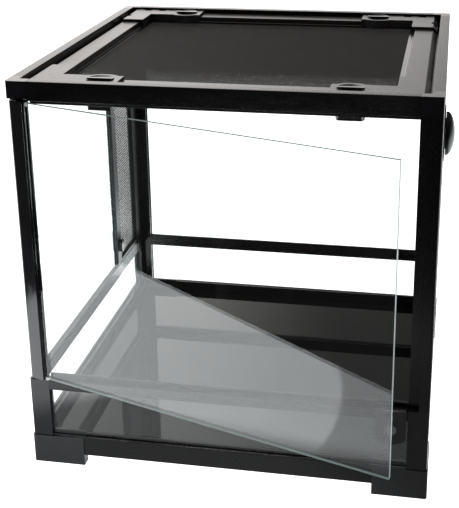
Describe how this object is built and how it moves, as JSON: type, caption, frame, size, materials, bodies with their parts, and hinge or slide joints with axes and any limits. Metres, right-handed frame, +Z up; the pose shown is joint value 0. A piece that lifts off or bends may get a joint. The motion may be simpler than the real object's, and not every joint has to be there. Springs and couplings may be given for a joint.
{
  "type": "glass terrarium tank",
  "caption": "Front-opening glass pet tank with a black corner-post frame, a side-hinged glass door, a key lock, a perforated side vent, a round side port and a lift-off screen lid.",
  "frame": {"origin": "middle of the tank's plan on the plane that its four feet stand on", "axes": "+X to the tank's right, +Y to its rear (the door opens towards -Y), +Z up"},
  "size_m": [0.4628, 0.5708, 0.455],
  "materials": {
    "foot_plastic": "moulded black plastic, fine texture",
    "frame_black": "black anodised extrusion, semi-gloss",
    "corner_plastic": "moulded black plastic, semi-gloss",
    "floor_glass": "black glass, mirror-like gloss",
    "clear_glass": "clear float glass with green-grey ground edges",
    "vent_black": "black moulded frame",
    "vent_metal": "black painted perforated sheet",
    "fitting_black": "glossy black plastic",
    "white_nylon": "white nylon",
    "stile_black": "glossy black extrusion",
    "pin_steel": "bright steel",
    "lock_metal": "dark plated zinc",
    "lid_plastic": "black plastic, satin with a grazing sheen",
    "mesh_wire": "fine black woven steel wire"
  },
  "bodies": {
    "tank": {"foot_fl": "foot_plastic", "foot_fr": "foot_plastic", "foot_rl": "foot_plastic", "foot_rr": "foot_plastic", "base_rail_front": "frame_black", "base_rail_rear": "frame_black", "base_rail_sides": "frame_black", "floor_panel": "floor_glass", "lower_post_fl": "corner_plastic", "lower_post_fr": "corner_plastic", "lower_post_rl": "corner_plastic", "lower_post_rr": "corner_plastic", "mid_rail_front": "frame_black", "mid_rail_rear": "frame_black", "mid_rail_left": "frame_black", "mid_rail_right": "frame_black", "lower_glass_front": "clear_glass", "lower_glass_rear": "clear_glass", "lower_glass_sides": "clear_glass", "upper_post_fl": "frame_black", "upper_post_fr": "frame_black", "upper_post_rl": "frame_black", "upper_post_rr": "frame_black", "rear_glass": "clear_glass", "left_glass": "clear_glass", "right_glass": "clear_glass", "top_rail_front": "frame_black", "top_rail_rear": "frame_black", "top_rail_left": "frame_black", "top_rail_right": "frame_black", "top_corner_fl": "corner_plastic", "top_corner_fr": "corner_plastic", "top_corner_rl": "corner_plastic", "top_corner_rr": "corner_plastic", "vent_frame": "vent_black", "vent_screen": "vent_metal", "side_port_flange": "fitting_black", "hinge_bushes": "fitting_black", "lock_housing": "fitting_black"},
    "front_door": {"door_glass": "clear_glass", "door_stile": "stile_black", "hinge_pins": "pin_steel", "pane_clips": "white_nylon"},
    "lid": {"lid_bar_front": "lid_plastic", "lid_bar_rear": "lid_plastic", "lid_bar_left": "lid_plastic", "lid_bar_right": "lid_plastic", "lid_corner_fl": "lid_plastic", "lid_corner_fr": "lid_plastic", "lid_corner_rl": "lid_plastic", "lid_corner_rr": "lid_plastic", "lid_mesh": "mesh_wire"},
    "latch_fl": {"latch_fl": "fitting_black"},
    "latch_fr": {"latch_fr": "fitting_black"},
    "latch_rl": {"latch_rl": "fitting_black"},
    "latch_rr": {"latch_rr": "fitting_black"},
    "lock_cylinder": {"lock_cylinder": "lock_metal"},
    "lock_bolt": {"lock_bolt": "pin_steel"},
    "vent_clip": {"vent_clip": "fitting_black"},
    "side_port_cap": {"side_port_cap": "fitting_black"}
  },
  "joints": [
    {"name": "door_hinge", "type": "hinge", "parent": "tank", "child": "front_door", "pos_m": [-0.218, -0.2145, 0.27], "axis": [0, 0, 1], "range_deg": [-140, 18.1]},
    {"name": "lid_lift", "type": "slide", "parent": "tank", "child": "lid", "axis": [0, 0, 1], "range_m": [0, 0.15]},
    {"name": "latch_turn_fl", "type": "hinge", "parent": "lid", "child": "latch_fl", "pos_m": [-0.131, -0.19, 0.45], "axis": [0, 0, 1], "range_deg": [0, 90]},
    {"name": "latch_turn_fr", "type": "hinge", "parent": "lid", "child": "latch_fr", "pos_m": [0.131, -0.19, 0.45], "axis": [0, 0, 1], "range_deg": [-90, 0]},
    {"name": "latch_turn_rl", "type": "hinge", "parent": "lid", "child": "latch_rl", "pos_m": [-0.131, 0.19, 0.45], "axis": [0, 0, 1], "range_deg": [-90, 0]},
    {"name": "latch_turn_rr", "type": "hinge", "parent": "lid", "child": "latch_rr", "pos_m": [0.131, 0.19, 0.45], "axis": [0, 0, 1], "range_deg": [0, 90]},
    {"name": "key_turn", "type": "hinge", "parent": "tank", "child": "lock_cylinder", "pos_m": [0.184, -0.2255, 0.0865], "axis": [0, -1, 0], "range_deg": [0, 90]},
    {"name": "bolt_slide", "type": "slide", "parent": "tank", "child": "lock_bolt", "axis": [0, 0, 1], "range_m": [0, 0.0065]},
    {"name": "clip_turn", "type": "hinge", "parent": "tank", "child": "vent_clip", "pos_m": [-0.2145, 0.0975, 0.14], "axis": [1, 0, 0], "range_deg": [0, 90]},
    {"name": "port_cap_turn", "type": "hinge", "parent": "tank", "child": "side_port_cap", "pos_m": [0.2265, -0.1, 0.383], "axis": [1, 0, 0], "range_deg": [0, 90]}
  ],
  "couplings": [
    {"joint": "key_turn", "follows": "bolt_slide", "rad_per_m": 241.66}
  ]
}
